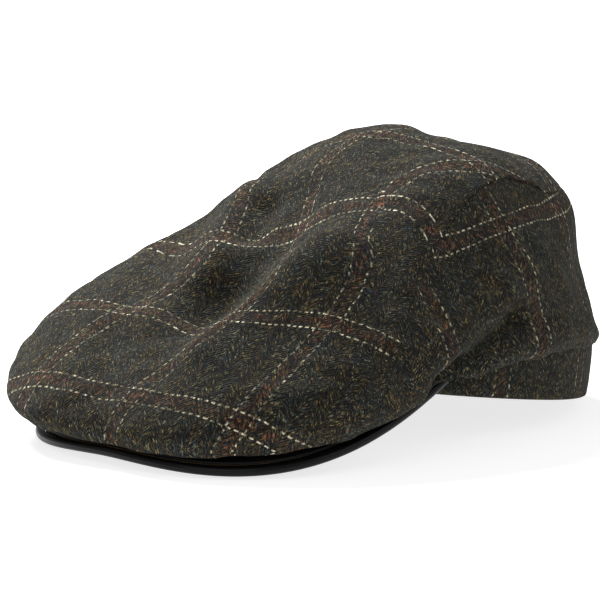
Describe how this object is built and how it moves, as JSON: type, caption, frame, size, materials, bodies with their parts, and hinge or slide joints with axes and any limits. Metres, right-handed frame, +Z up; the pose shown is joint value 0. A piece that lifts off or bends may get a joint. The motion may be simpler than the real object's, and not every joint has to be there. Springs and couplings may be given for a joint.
{
  "type": "newsboy cap",
  "caption": "Soft tweed flat cap: a sloping one-piece top and side panels over a band, with a leather-edged curved peak in front.",
  "frame": {"origin": "on the floor under the middle of the cap as it stands on its peak and the back of its band", "axes": "+Z up, -Y towards the peak (the front), +X towards the wearer's left"},
  "size_m": [0.1938, 0.277, 0.1249],
  "materials": {
    "tweed": "dark green, navy and brown flecked wool herringbone tweed with a cream and rust window check",
    "canvas": "undyed stiff canvas",
    "sweat_cloth": "black cotton twill",
    "lining": "black satin-weave lining",
    "black_leather": "black, fine grain, matt",
    "glossy_leather": "black, smooth, semi-gloss",
    "board": "thin white peak board",
    "cord": "cotton filler cord",
    "label": "plain woven label, blank"
  },
  "bodies": {
    "root": {"crown_top_panel": "tweed", "crown_side_left": "tweed", "crown_side_right": "tweed", "crown_band": "tweed", "band_interlining": "canvas", "sweatband": "sweat_cloth", "lining_top": "lining", "lining_side_left": "lining", "lining_side_right": "lining", "peak_under_cover": "black_leather", "peak_board": "board", "peak_facing": "black_leather", "peak_edge_roll": "glossy_leather", "peak_edge_cord": "cord", "lining_label": "label", "size_tab": "label"}
  },
  "joints": []
}
